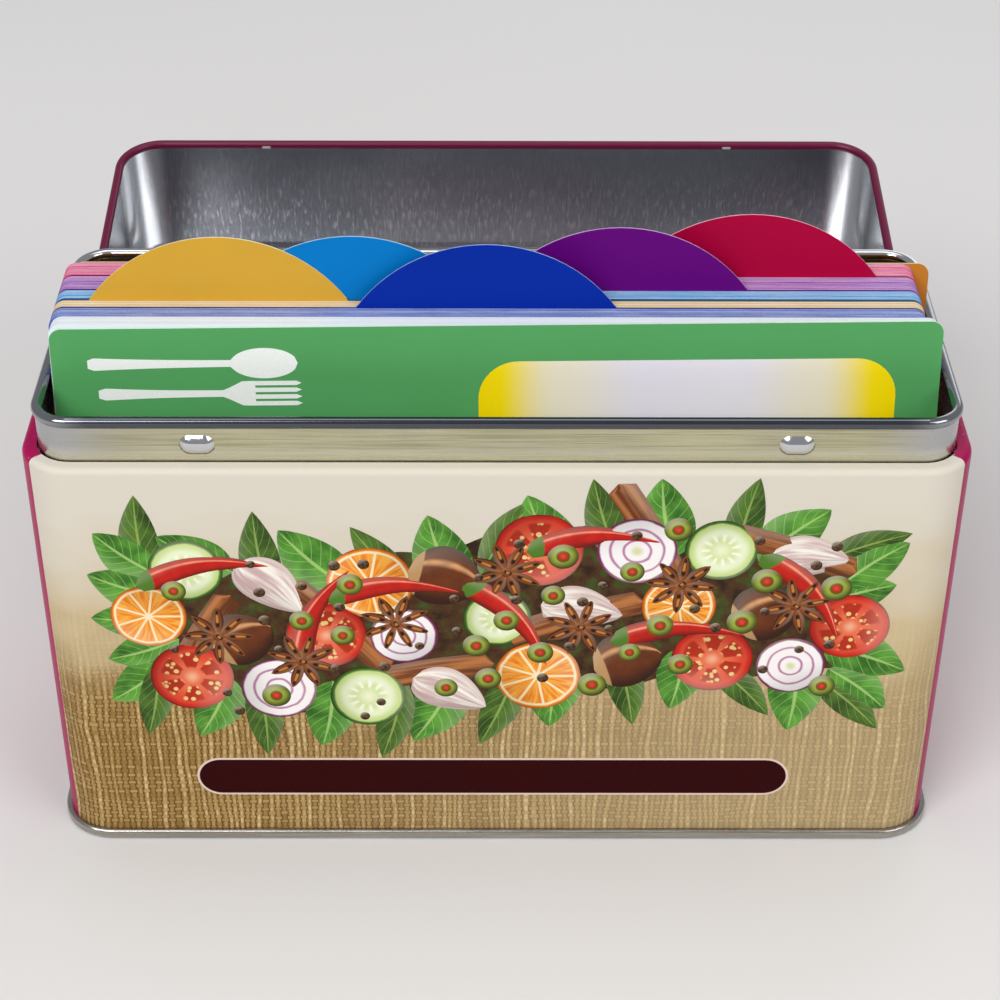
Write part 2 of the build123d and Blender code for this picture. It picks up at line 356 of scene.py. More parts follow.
def printed_wall():
    """The wrapped wall: printed front, raspberry sides and back, bare tin inside."""
    print_edge_slope = 0.78
    worn_heights = (81.5, 83.8)
    worn_ends = (70, 80)
    middle = (0, 0, 40)
    turned_in = 1.4
    finish = Finish("printed_wall_tinplate", shine=0.12)
    place = finish.place()
    x, y, z = finish.axes(place)
    waver = finish.calc("MULTIPLY", finish.noise(place, (0.3, 0.3, 0.3), 2), 0.3)
    ahead = finish.calc("SUBTRACT", finish.calc("SUBTRACT", corner_middle, y), waver)
    print_edge = finish.calc("MULTIPLY", past_corner(finish, x), print_edge_slope)
    front = finish.calc("GREATER_THAN", ahead, print_edge)
    coat = finish.mix(front, lacquer_colour(finish, place, raspberry), linen(finish, place, x, z))
    scuff = finish.noise(place, (0.5, 2.2, 0.9), 3, (3, 8, 1))
    near_end = finish.step(finish.calc("ABSOLUTE", x), *worn_ends)
    corner = finish.calc("MULTIPLY", finish.step(z, *worn_heights), near_end)
    worn = finish.calc("MULTIPLY", corner, finish.step(scuff, 0.66, 0.72))
    coat = finish.mix(finish.calc("MULTIPLY", worn, 0.7), coat, "D8CFC6")
    outside = outward(finish, place, finish.facing(), middle)
    outside = finish.calc("MAXIMUM", outside, finish.calc("GREATER_THAN", z, shoulder_height - turned_in))
    tone, rough, _ = tin_colour(finish, place, tin_grey, (2, 2, 0.05))
    finish.give("Base Color", finish.mix(outside, tone, coat))
    finish.give("Metallic", finish.calc("SUBTRACT", 1, outside))
    finish.give("Roughness", finish.calc("MAXIMUM", rough, finish.calc("MULTIPLY", outside, 0.36)))
    finish.bump(finish.noise(place, (0.9, 0.9, 0.9), 2), 0.06, 0.05)
    return finish.material


def lid_tinplate():
    """The lid: raspberry lacquer outside and round the hem, bare tin inside with short upright flecks and a
    painted corner sheen.
    """
    mouth = (0, 0, 86)
    hem_top = 86.1
    hem_inner_edge = (84.9, 85.1)
    chip_offset = 50
    chip_reach = (1.1, 0.6)
    chip_front = -30.5
    corner_sheen_blend = 2.5
    fleck_heights = (88, 106)
    finish = Finish("lid_tinplate", shine=0.34)
    place = finish.place(lid_turn, hinge_line)
    x, y, z = finish.axes(place)
    facing = finish.facing(lid_turn)
    outer = outward(finish, place, facing, mouth)
    hem = finish.calc("LESS_THAN", z, hem_top)
    outside = finish.calc("MAXIMUM", outer, hem)
    from_chip = finish.calc("ABSOLUTE", finish.calc("SUBTRACT", finish.calc("ABSOLUTE", x), chip_offset))
    ahead = finish.calc("LESS_THAN", y, chip_front)
    chip = finish.calc("MULTIPLY", finish.step(from_chip, *chip_reach), ahead)
    chip = finish.calc("MULTIPLY", finish.calc("MULTIPLY", chip, hem), finish.step(z, *hem_inner_edge))
    chip = finish.calc("MULTIPLY", chip, finish.calc("SUBTRACT", 1, outer))
    coat = finish.mix(hem, lacquer_colour(finish, place, raspberry), burgundy)
    coat = finish.mix(chip, coat, "D8C4C0")
    haze = finish.noise(place, (0.03, 0.03, 0.05), 2, (7, 0, 0))
    sheet = finish.mix(finish.step(haze, 0.3, 0.7), "C0C2C6", "B0B3B8")
    upright = finish.step(finish.calc("ABSOLUTE", finish.dot(facing, (0, 0, 1))), 0.4, 0.2)
    # The upright rounded corners inside are painted near white: a painted sheen that brightens their
    # reflection.
    corner_sheen = finish.calc("MULTIPLY", upright, finish.step(past_corner(finish, x), 0, corner_sheen_blend))
    corner_sheen = finish.calc("MULTIPLY", corner_sheen, finish.step(y, corner_middle, corner_middle - corner_sheen_blend))
    sheet = finish.mix(corner_sheen, sheet, "FAFAFA")
    grain = finish.noise(place, (3.4, 3.4, 0.4), 2)
    fleck = finish.step(finish.noise(place, (1.7, 1.7, 0.34), 2, (3, 5, 1)), 0.52, 0.66)
    fleck = finish.calc("MULTIPLY", fleck, finish.step(z, *fleck_heights, 0.08, 0.5))
    sheet = finish.mix(finish.calc("MULTIPLY", fleck, upright), sheet, "FAFAFA")
    finish.give("Base Color", finish.mix(outside, sheet, coat))
    finish.give("Metallic", finish.calc("SUBTRACT", 1, outside))
    rough = finish.step(grain, 0.2, 0.8, 0.2, 0.26)
    finish.give("Roughness", finish.calc("ADD", rough, finish.calc("MULTIPLY", outside, 0.08)))
    finish.bump(grain, 0.02, 0.02)
    return finish.material


def card_sides(finish):
    """Where a point lies in the stack: 1 on a card's face, its depth below the head, its card's number."""
    card_pitch = 0.4
    place = finish.place()
    flat = finish.calc("GREATER_THAN", finish.calc("ABSOLUTE", finish.dot(finish.facing(), card_back)), 0.7)
    below = finish.calc("SUBTRACT", card_top / card_up.z * per_mm, finish.dot(place, (0, 0, 1 / card_up.z)))
    depth = finish.calc("SUBTRACT", finish.dot(place, card_back), stack_front * per_mm)
    number = finish.calc("FLOOR", finish.calc("DIVIDE", depth, card_pitch))
    return place, flat, below, number


def ruled_cards(name, ink, paper):
    """Recipe cards: a coloured head band, ruled lines below it and an edge that is streaked with ink."""
    head_band = (14.1, 13.9)
    line_pitch = 6.4
    line_edge = (0.2, 0.1)
    finish = Finish(name, roughness=0.62, shine=0.15)
    place, flat, below, number = card_sides(finish)
    chance = finish.put("ShaderNodeTexWhiteNoise", noise_dimensions="1D")
    finish.feed(chance.inputs["W"], number)
    where = finish.put("ShaderNodeCombineXYZ")
    finish.feed(where.inputs[0], finish.axes(place)[0])
    finish.feed(where.inputs[1], finish.calc("MULTIPLY", number, 7.3))
    streak = finish.noise(where.outputs[0], (0.12, 1, 1), 6)
    fibre = finish.noise(place, (2.4, 6, 6), 2)
    inked = finish.calc("MULTIPLY", chance.outputs["Value"], 0.7)
    inked = finish.calc("ADD", inked, finish.step(streak, 0.3, 0.7, -0.1, 0.25))
    inked = finish.calc("ADD", inked, finish.step(fibre, 0.3, 0.7, -0.12, 0.12))
    edge = finish.mix(inked, paper, ink)
    rule = finish.calc("PINGPONG", below, line_pitch / 2)
    line = finish.calc("MULTIPLY", finish.step(rule, *line_edge), 0.5)
    lined = finish.mix(line, "F3F1EC", "7C8FA8")
    face = finish.mix(finish.step(below, *head_band), lined, ink)
    grain = finish.noise(place, (4, 4, 4), 3)
    colour = finish.mix(flat, edge, face)
    finish.give("Base Color", finish.mix(finish.step(grain, 0.2, 0.8, 0, 0.08), colour, "B8B0A4"))
    finish.bump(grain, 0.1, 0.03)
    return finish.material


def coated_card(name, ink, tab_edge, head_edge_and_shade):
    """A divider, cover or back card: coated stock in one colour, with one edge colour round the tab
    and another along the head, which on the dividers is a painted shade darker than the ink."""
    head_edge_reach = (-0.5, -0.2)
    finish = Finish(name, shine=0.08)
    place, flat, below, _ = card_sides(finish)
    mottle = finish.noise(place, (0.06, 0.06, 0.06), 3)
    grain = finish.noise(place, (5, 5, 5), 2)
    tone = finish.mix(finish.step(mottle, 0.3, 0.75, 0.02, 0.06), ink, "000000")
    fray = finish.noise(place, (0.8, 2, 2), 3)
    edge = finish.mix(finish.step(fray, 0.35, 0.8, 0, 0.4), tab_edge, ink)
    # Along the head: the card's edge colour, on the dividers a painted shade of the gap between cards.
    edge = finish.mix(finish.step(below, *head_edge_reach), edge, head_edge_and_shade)
    finish.give("Base Color", finish.mix(flat, edge, tone))
    finish.give("Roughness", finish.step(grain, 0.2, 0.8, 0.42, 0.56))
    finish.bump(grain, 0.06, 0.02)
    return finish.material


def dress(node_name, material):
    """Gives a CAD node its finish."""
    slots = nodes[node_name].data.materials
    slots.clear()
    slots.append(material)


def dress_tin():
    """The wall, lid, collar, bottom and hinges."""
    seam = bare_tin("seam_tin", "A8A29A", (0.1, 0.1, 3))
    hinge = bare_tin("hinge_tin", "A9A8A6", (1.5, 1.5, 0.2))
    dress("box_wall", printed_wall())
    dress("lid_shell", lid_tinplate())
    dress("neck_collar", collar_tin())
    dress("bottom_plate", seam)
    for side in ("left", "right"):
        for piece in ("_box_hinge_leaf", "_lid_hinge_leaf", "_hinge_pin"):
            dress(side + piece, hinge)


def dress_cards():
    """Every card group (ink, paper) and every divider (ink, tab's edge, head's edge in painted shade)."""
    plain = {
        "white": ("E0E8EE", "F4F7F7"), "blue": ("4660B4", "C6D2F0"), "gold": ("DEC088", "F6EEDC"),
        "light_blue": ("2A92D4", "CDE6F4"), "purple": ("9044AC", "E8CAEE"), "pink": ("DA3E7E", "F6CADC"),
    }
    for kind, (ink, paper) in plain.items():
        dress(kind + "_cards", ruled_cards(kind + "_card_stock", ink, paper))
    # The dividers' head edges are painted shade, darker than their ink.
    dividers = {
        "dark_blue": ("002A9C", "A8BAE8", "24285E"), "gold": ("D4A438", "F8ECCC", "4A4A3A"),
        "light_blue": ("0078C4", "B8E0F6", "0C3048"), "purple": ("600276", "E0B6E8", "30286C"),
        "crimson": ("AA0038", "F4B8C8", "5E0838"),
    }
    for kind, colours in dividers.items():
        dress(kind + "_divider", coated_card(kind + "_divider_stock", *colours))
    dress("cover_card", coated_card("cover_card_stock", "58A662", "DCF4E0", "D6F0DA"))
    dress("back_card", coated_card("back_card_stock", "C07C2C", "E8C48C", "EFD0A0"))


def pick(test):
    """In edit mode, selects only the points whose place passes the test."""
    shape = bmesh.from_edit_mesh(bpy.context.object.data)
    for point in shape.verts:
        point.select_set(bool(test(point.co)))
    shape.select_flush_mode()
    bmesh.update_edit_mesh(bpy.context.object.data)


def raise_front(crown):
    """Gives a flat plate a millimetre of thickness to the front, and its inner points a crown."""
    sharp = 1
    bpy.ops.mesh.select_all(action="SELECT")
    bpy.ops.mesh.extrude_region_move(TRANSFORM_OT_translate={"value": (0, -mm, 0)})
    shape = bmesh.from_edit_mesh(bpy.context.object.data)
    rim = {point.index for edge in shape.edges if edge.calc_face_angle(0) > sharp for point in edge.verts}
    for point in shape.verts:
        point.select_set(point.index not in rim and point.co.y < -mm / 2)
    shape.select_flush_mode()
    bmesh.update_edit_mesh(bpy.context.object.data)
    bpy.ops.transform.translate(value=(0, -crown * mm, 0))
    bpy.ops.mesh.select_all(action="SELECT")
    bpy.ops.mesh.normals_make_consistent(inside=False)
    bpy.ops.object.mode_set(mode="OBJECT")


def round_plate(name, radius, crown=0.5):
    """A round motif that faces the front, crowned a little."""
    rim_share = 0.12
    bpy.ops.mesh.primitive_circle_add(
        vertices=40, radius=radius * mm, fill_type="NGON", rotation=(pi / 2, 0, 0)
    )
    bpy.ops.object.transform_apply()
    plate = bpy.context.object
    plate.name = name
    bpy.ops.object.mode_set(mode="EDIT")
    bpy.ops.mesh.select_all(action="SELECT")
    bpy.ops.mesh.inset(thickness=radius * mm * rim_share)
    raise_front(crown)
    return plate


def no_bow(share):
    """A motif that lies straight."""
    return 0


def long_plate(name, length, width_at, bow_at=no_bow, *, columns, crown=0.5):
    """A motif that lies along X and faces the front: its width and bow follow its length."""
    least_width = 0.001
    weld = 0.02
    bpy.ops.mesh.primitive_grid_add(
        x_subdivisions=columns, y_subdivisions=4, size=1, rotation=(pi / 2, 0, 0)
    )
    plate = bpy.context.object
    plate.name = name
    plate.scale = (length * mm, mm, mm)
    bpy.ops.object.transform_apply()
    bpy.ops.object.mode_set(mode="EDIT")
    for column in range(columns + 1):
        share = column / columns
        x = (share - 0.5) * length * mm
        pick(lambda place: abs(place.x - x) < length * mm / columns / 4)
        width = max(width_at(share), least_width)
        bpy.ops.transform.resize(value=(1, 1, width), center_override=(x, 0, 0))
        bpy.ops.transform.translate(value=(0, 0, bow_at(share) * mm))
    bpy.ops.mesh.select_all(action="SELECT")
    bpy.ops.mesh.remove_doubles(threshold=weld * mm)
    raise_front(crown)
    return plate


def rounded_plate(name, width, height, corner):
    """A flat plate with rounded corners that faces the front."""
    full_round_share = 0.999
    bpy.ops.mesh.primitive_plane_add(size=1, rotation=(pi / 2, 0, 0))
    plate = bpy.context.object
    plate.name = name
    plate.scale = (width * mm, height * mm, 1)
    bpy.ops.object.transform_apply()
    bpy.ops.object.mode_set(mode="EDIT")
    bpy.ops.mesh.select_all(action="SELECT")
    bpy.ops.mesh.bevel(offset=corner * mm * full_round_share, segments=10, affect="VERTICES")
    raise_front(0)
    return plate


def twin(master):
    """A copy of a piece, with its own mesh."""
    copy = master.copy()
    copy.data = master.data.copy()
    bpy.context.scene.collection.objects.link(copy)
    return copy


def joined(parts):
    """Joins some pieces to one."""
    bpy.ops.object.select_all(action="DESELECT")
    for part in parts:
        part.select_set(True)
    bpy.context.view_layer.objects.active = parts[0]
    bpy.ops.object.join()
    return bpy.context.object


def set_down(copy, place, turn, size, rise):
    """Moves a motif's own mesh to its place (x, z) on the front, where it stands a little proud."""
    x, z = place
    spot = Matrix.Translation((x * mm, front_face, z * mm)) @ Matrix.Rotation(-turn, 4, "Y")
    copy.data.transform(spot @ Matrix.Diagonal((size, rise * ink_relief, size, 1)))
    mark = copy.data.attributes.new("turn", "FLOAT", "FACE")
    mark.data.foreach_set("value", [turn] * len(copy.data.polygons))


def strew(name, master, material, spots):
    """Copies a motif to every spot (place, turn, size, rise) and joins the copies to one print."""
    copies = []
    for spot in spots:
        copy = twin(master)
        set_down(copy, *spot)
        copies.append(copy)
    printed = joined(copies)
    printed.name = name
    printed.data.materials.append(material)
    bpy.ops.object.select_all(action="DESELECT")
    bpy.data.objects.remove(master)
    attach(printed, "tin")


class Printed(Finish):
    """The ink of a motif: patterns follow the motif's own UV map."""

    def __init__(self, name, shine=0.2):
        super().__init__(name, roughness=0.42, shine=shine)
        unwrapped = self.put("ShaderNodeUVMap", uv_map="UVMap").outputs[0]
        self.along, self.across, _ = self.axes(unwrapped)
        self.turn = self.put("ShaderNodeAttribute", attribute_name="turn").outputs["Fac"]

    def polar(self):
        """Distance from the middle, 1 at the rim, and the angle round it."""
        right = self.calc("SUBTRACT", self.along, 0.5)
        up = self.calc("SUBTRACT", self.across, 0.5)
        squares = self.calc("ADD", self.calc("MULTIPLY", right, right), self.calc("MULTIPLY", up, up))
        waver = self.calc("SUBTRACT", self.noise(self.place(), (0.3, 0.3, 0.3), 2), 0.5)
        reach = self.calc("MULTIPLY", self.calc("SQRT", squares), 2)
        radius = self.calc("ADD", reach, self.calc("MULTIPLY", waver, 0.1))
        return radius, self.calc("ADD", self.calc("ARCTAN2", up, right), self.turn)

    def wedge(self, angle, count):
        """0 on the walls between so many wedges, 1 in the middle of each."""
        return self.calc("PINGPONG", self.calc("MULTIPLY", angle, count / pi), 1)

    def lit(self, colour, strength=0.3):
        """Paints a motif bright at its upper left and dark at its lower right, as in a still life."""
        slant = self.calc("ADD", self.calc("MULTIPLY", self.along, -0.5), self.across)
        shaded = self.mix(self.step(slant, 0.3, -0.3, 0, strength), colour, "1A0C04")
        rim_reflection = self.mix(self.step(slant, 0.3, 0.8, 0, strength * 0.5), shaded, "FFF4E0")
        self.give("Base Color", rim_reflection)
        return self.material


def tomato_ink():
    """Half a tomato: flesh, six rooms with seeds in gel, and the skin."""
    seed_scale = 0.75
    ink = Printed("tomato_half_ink")
    radius, angle = ink.polar()
    flesh = ink.ramp(
        radius, (0, "F2B08A"), (0.25, "E8714C"), (0.78, "DC452A"), (0.92, "C8200F"), (1, "7C0B07")
    )
    room = ink.step(ink.wedge(angle, 6), 0.2, 0.42)
    room = ink.calc("MULTIPLY", room, ink.step(radius, 0.24, 0.34))
    room = ink.calc("MULTIPLY", room, ink.step(radius, 0.8, 0.7))
    seeds = ink.put("ShaderNodeTexVoronoi")
    ink.feed(seeds.inputs["Vector"], ink.place())
    seeds.inputs["Scale"].default_value = seed_scale
    gel = ink.mix(ink.step(seeds.outputs["Distance"], 0.42, 0.3), "B42A0C", "F0CC84")
    return ink.lit(ink.mix(room, flesh, gel))


def orange_ink():
    """A slice of orange: nine streaked wedges, pith and peel."""
    ink = Printed("orange_slice_ink")
    radius, angle = ink.polar()
    pulp = ink.put("ShaderNodeCombineXYZ")
    ink.feed(pulp.inputs[0], ink.calc("MULTIPLY", angle, 9))
    ink.feed(pulp.inputs[1], ink.calc("MULTIPLY", radius, 2))
    streak = ink.noise(pulp.outputs[0], (1, 1, 1), 2)
    flesh = ink.mix(ink.step(streak, 0.3, 0.7), "E97A0C", "FBB548")
    wall = ink.calc("MULTIPLY", ink.wedge(angle, 9), radius)
    flesh = ink.mix(ink.step(wall, 0.12, 0.05), flesh, "FCE6B8")
    flesh = ink.mix(ink.step(radius, 0.14, 0.06), flesh, "FCE6B8")
    peel = ink.ramp(radius, (0, "FCE6B8"), (0.9, "FCE6B8"), (0.93, "EE8410"), (1, "A84E05"))
    return ink.lit(ink.mix(ink.step(radius, 0.83, 0.87), flesh, peel))


def onion_ink():
    """A slice of red onion, ring in ring."""
    ink = Printed("onion_slice_ink")
    radius, _ = ink.polar()
    rings = ink.calc("PINGPONG", ink.calc("MULTIPLY", radius, 6), 1)
    flesh = ink.mix(ink.step(rings, 0.35, 0.05), "F8F2F0", "B87CA0")
    skin = ink.mix(ink.step(radius, 0.9, 0.96), flesh, "7A2458")
    return ink.lit(ink.mix(ink.step(radius, 0.2, 0.05), skin, "D8DCA8"))


def cucumber_ink():
    """A slice of cucumber with a ring of seeds."""
    ink = Printed("cucumber_slice_ink")
    radius, angle = ink.polar()
    flesh = ink.ramp(
        radius, (0, "EEF2CE"), (0.35, "D6E4A4"), (0.6, "E9F2CC"), (0.86, "C6DA86"),
        (0.93, "3F6E20"), (1, "1F400E"),
    )
    ring = ink.calc("MULTIPLY", ink.step(radius, 0.26, 0.34), ink.step(radius, 0.6, 0.5))
    seed = ink.calc("MULTIPLY", ring, ink.step(ink.wedge(angle, 11), 0.5, 0.7))
    return ink.lit(ink.mix(seed, flesh, "F8F6DE"), 0.22)


def olive_ink():
    """A green olive with a red filling."""
    ink = Printed("olive_ink")
    radius, _ = ink.polar()
    skin = ink.ramp(
        radius, (0, "D84A28"), (0.3, "B42A10"), (0.36, "4A5412"), (0.5, "9AA83C"), (1, "4E5C14")
    )
    return ink.lit(skin, 0.55)


def pepper_ink():
    """A peppercorn, mottled brown."""
    ink = Printed("peppercorn_ink")
    grain = ink.noise(ink.place(), (2, 2, 2), 3)
    return ink.lit(ink.mix(ink.step(grain, 0.35, 0.65), "2A1A10", "6A4A2C"), 0.5)


def leaf_ink(name, dark, light, vein):
    """A leaf with a midrib and slanting ribs, one half lighter than the other."""
    ink = Printed(name)
    side = ink.calc("ABSOLUTE", ink.calc("SUBTRACT", ink.across, 0.5))
    patch = ink.noise(ink.place(), (0.25, 0.25, 0.25), 3)
    blade = ink.mix(ink.step(patch, 0.3, 0.7), dark, light)
    fold = ink.mix(ink.step(ink.across, 0.47, 0.53, 0, 0.3), blade, light)
    slant = ink.calc("SUBTRACT", ink.calc("MULTIPLY", ink.along, 8), ink.calc("MULTIPLY", side, 4))
    ribs = ink.step(ink.calc("PINGPONG", slant, 0.5), 0.08, 0.02)
    midrib = ink.step(side, 0.045, 0.02)
    lines = ink.calc("MAXIMUM", midrib, ink.calc("MULTIPLY", ribs, 0.6))
    return ink.lit(ink.mix(ink.calc("MULTIPLY", lines, 0.7), fold, vein), 0.2)


def gloss_ink(name, dark, body, gleam, foot, foot_end):
    """A plump glossy thing: dark sides, a gleam along its upper side and a foot of another colour."""
    ink = Printed(name)
    skin = ink.ramp(
        ink.across, (0, dark), (0.35, body), (0.62, body), (0.72, gleam), (0.8, body), (1, dark)
    )
    patch = ink.noise(ink.place(), (0.4, 0.4, 0.4), 3)
    skin = ink.mix(ink.step(patch, 0.3, 0.75, 0, 0.35), skin, dark)
    side = ink.calc("MULTIPLY", ink.calc("SUBTRACT", ink.across, 0.5), foot_end)
    reach = ink.calc("SQRT", ink.calc("ADD", ink.calc("POWER", ink.along, 2), ink.calc("POWER", side, 2)))
    return ink.lit(ink.mix(ink.step(reach, foot_end + 0.02, foot_end), skin, foot), 0.2)


def striped_ink(name, dark, light, count):
    """Long stripes, as on bark or the skin of a clove."""
    ink = Printed(name)
    where = ink.put("ShaderNodeCombineXYZ")
    ink.feed(where.inputs[0], ink.calc("MULTIPLY", ink.along, 1.5))
    ink.feed(where.inputs[1], ink.calc("MULTIPLY", ink.across, count))
    ink.feed(where.inputs[2], ink.turn)
    stripe = ink.noise(where.outputs[0], (1, 1, 1), 3)
    skin = ink.mix(ink.step(stripe, 0.35, 0.65), dark, light)
    edge = ink.calc("ABSOLUTE", ink.calc("SUBTRACT", ink.across, 0.5))
    return ink.lit(ink.mix(ink.step(edge, 0.3, 0.5, 0, 0.75), skin, dark), 0.25)


def bed_ink():
    """The deep shade between the motifs."""
    ink = Printed("garland_shade_ink")
    patch = ink.noise(ink.place(), (0.35, 0.35, 0.35), 4)
    shade = ink.ramp(patch, (0.3, "2A1808"), (0.5, "4A2E12"), (0.62, "3A4A16"), (0.75, "6A4A22"))
    ink.give("Base Color", shade)
    return ink.material


def garland_centre(x):
    """The height of the garland's middle line on the front."""
    return garland_height + garland_wave * sin(x / garland_wave_reach)


def lay_rows(dice, spots):
    """Rows of the large motifs: how far each row lies off the middle line, and its count."""
    kinds = ("tomato", "chestnut", "orange", "clove", "cucumber", "onion")
    rows = ((-12.6, 8), (0.4, 9), (13, 8))
    pitch = 15.4
    loose = 1.5
    for row, (lift, count) in enumerate(rows):
        for step in range(count):
            x = (step - (count - 1) / 2) * pitch + dice.uniform(-loose, loose)
            place = (x, garland_centre(x) + lift + dice.uniform(-loose, loose))
            kind = kinds[(step * 5 + row * 2) % len(kinds)]
            swing = 1 if kind in ("chestnut", "clove") else pi
            turn = dice.uniform(-swing, swing)
            spots[kind].append((place, turn, dice.uniform(0.9, 1.1), dice.uniform(*motif_rise)))


def lay_leaves(dice, spots):
    """Leaves that point outwards, along both edges and at both ends."""
    edge_leaves = 13
    pitch = 10.4
    loose = 2
    edge_reach = (16.5, 18.5)
    fan_reach = 90
    end_leaves = 5
    end_reach = (62, 66)
    end_middle = 64
    end_pitch = 7
    end_fan = 0.35
    for edge in (-1, 1):
        for step in range(edge_leaves):
            x = (step - (edge_leaves - 1) / 2) * pitch + dice.uniform(-loose, loose)
            place = (x, garland_centre(x) + edge * dice.uniform(*edge_reach))
            turn = edge * (pi / 2 - x / fan_reach + dice.uniform(-0.7, 0.7))
            kind = ("bay", "basil")[step % 2]
            spots[kind].append((place, turn, dice.uniform(0.85, 1.15), dice.uniform(*leaf_rise)))
    for end in (-1, 1):
        outwards = 0 if end > 0 else pi
        for step in range(end_leaves):
            up = step - (end_leaves - 1) / 2
            place = (end * dice.uniform(*end_reach), garland_centre(end * end_middle) + up * end_pitch)
            turn = outwards + end * up * end_fan
            spots["basil"].append((place, turn, dice.uniform(0.8, 1), dice.uniform(*leaf_rise)))


def lay_spices(dice, spots):
    """Chillies, cinnamon sticks and star anise across the rows: how many of each, and their rise."""
    spices = {"chilli": (7, (0.25, 0.27)), "cinnamon": (6, (0.14, 0.17)), "anise": (7, (0.26, 0.29))}
    spread = 118
    loose = 4
    reach = 14
    for kind, (count, rise) in spices.items():
        for step in range(count):
            x = (step - (count - 1) / 2) * spread / count + dice.uniform(-loose, loose)
            place = (x, garland_centre(x) + dice.uniform(-reach, reach))
            spots[kind].append((place, dice.uniform(-1.2, 1.2), 1, dice.uniform(*rise)))


def lay_small(dice, spots):
    """Olives and peppercorns, clear of each other and of the stars: how many, and the room each needs."""
    small = {"olive": (22, 7.5), "pepper": (36, 4.5)}
    half_length = 61
    half_height = 18
    taken = [Vector(place) for place, *_ in spots["anise"]]
    for kind, (count, room) in small.items():
        while len(spots[kind]) < count:
            x = dice.uniform(-half_length, half_length)
            place = Vector((x, garland_centre(x) + dice.uniform(-half_height, half_height)))
            if all((place - other).length > room for other in taken):
                taken.append(place)
                spots[kind].append((place, 0, dice.uniform(0.85, 1.15), dice.uniform(*small_rise)))


def garland_spots(dice):
    """Where every motif of the garland goes, by kind: place, turn, size and rise."""
    spots = defaultdict(list)
    for lay in (lay_rows, lay_leaves, lay_spices, lay_small):
        lay(dice, spots)
    return spots


def swell(share):
    """From 0 at one end up to 1 in the middle and back to 0."""
    return sin(pi * share)


def tapered(width, skew, bluntness):
    """The width along a motif with two tips, whose belly lies off the middle by its skew."""
    def width_at(share):
        return width * swell(share ** skew) ** bluntness
    return width_at


def even(width, end_slope):
    """The width along a motif that is even, with its ends rounded off."""
    def width_at(share):
        return width * min(1, end_slope * swell(share))
    return width_at


def shade_width(share):
    """Nearly even along the garland, with a wavy edge."""
    width = 38
    edge_wave = 2
    return width * swell(share) ** 0.35 + edge_wave * sin(40 * share)


def shade_bow(share):
    """The garland's wave, from the middle line of its shade."""
    return garland_centre((share - 0.5) * garland_length) - garland_height


def chestnut_width(share):
    """Broad at the foot, with a blunt point."""
    width = 12.4
    oval = (1 - (2 * share - 1) ** 2) ** 0.5
    return width * oval * (1.1 - 0.35 * share ** 2)


def anise_star():
    """A star of eight pods."""
    pods = 8
    pod_middle = 3.3
    pod = long_plate("pod", 6.4, tapered(2.3, 1, 0.7), columns=8)
    pod.data.transform(Matrix.Translation((pod_middle * mm, 0, 0)))
    parts = []
    for step in range(pods):
        copy = twin(pod)
        copy.data.transform(Matrix.Rotation(step * 2 * pi / pods, 4, "Y"))
        parts.append(copy)
    bpy.data.objects.remove(pod)
    parts.append(round_plate("hub", 1.1, 0.8))
    return joined(parts)


def anise_ink():
    """Pods with a dark slit and a seed in it."""
    ink = Printed("star_anise_ink")
    side = ink.calc("ABSOLUTE", ink.calc("SUBTRACT", ink.across, 0.5))
    pod = ink.mix(ink.step(side, 0.2, 0.5), "8A4A1C", "3A1A08")
    slit = ink.calc("MULTIPLY", ink.step(side, 0.2, 0.14), ink.step(ink.along, 0.25, 0.35))
    pod = ink.mix(ink.calc("MULTIPLY", slit, ink.step(ink.along, 0.95, 0.85)), pod, "240E04")
    seed = ink.calc("MULTIPLY", ink.step(side, 0.15, 0.08), ink.step(ink.along, 0.42, 0.5))
    seed = ink.calc("MULTIPLY", seed, ink.step(ink.along, 0.78, 0.7))
    return ink.lit(ink.mix(seed, pod, "C27A38"), 0.2)


def print_garland():
    """A garland of kitchen produce across the linen, with a shade behind it: round motifs (radius, ink)
    and long ones (length, width along it, bow, ink)."""
    spots = garland_spots(Random(8))
    shade = long_plate("bed", garland_length, shade_width, shade_bow, columns=40, crown=0)
    strew("print_garland_shade", shade, bed_ink(), [((0, garland_height), 0, 1, shade_rise)])
    rounds = {
        "tomato": (7.2, tomato_ink), "orange": (7.0, orange_ink), "onion": (6.6, onion_ink),
        "cucumber": (6.4, cucumber_ink), "olive": (2.4, olive_ink), "pepper": (0.95, pepper_ink),
    }
    for kind, (radius, ink) in rounds.items():
        strew("print_" + kind, round_plate(kind, radius), ink(), spots[kind])
    bay = leaf_ink("bay_leaf_ink", "2C4A14", "547A2A", "9DB45E")
    basil = leaf_ink("basil_leaf_ink", "2E6A1A", "5FA238", "B4D47E")
    chestnut = gloss_ink("chestnut_ink", "341404", "6E3412", "DCA06A", "B98E5E", 0.17)
    clove = striped_ink("garlic_clove_ink", "C9A9A6", "F8F2E6", 9)
    chilli = gloss_ink("chilli_ink", "7A0A06", "C81C0C", "FF9A78", "4E7A22", 0.13)
    cinnamon = striped_ink("cinnamon_ink", "6A3412", "B87440", 5)
    slight_bow = 0.6
    chilli_bow = 2.5
    longs = {
        "bay": (19, tapered(6.4, 1, 0.9), slight_bow, bay),
        "basil": (16, tapered(9.5, 0.8, 0.8), slight_bow, basil),
        "chestnut": (13, chestnut_width, slight_bow, chestnut),
        "clove": (15, tapered(9.5, 0.7, 0.7), slight_bow, clove),
        "chilli": (24, tapered(5, 0.45, 0.8), chilli_bow, chilli),
        "cinnamon": (26, even(5.2, 9), slight_bow, cinnamon),
    }
    for kind, (length, width_at, bow, ink) in longs.items():
        plate = long_plate(kind, length, width_at, lambda share: bow * swell(share), columns=20)
        strew("print_" + kind, plate, ink, spots[kind])
    strew("print_anise", anise_star(), anise_ink(), spots["anise"])


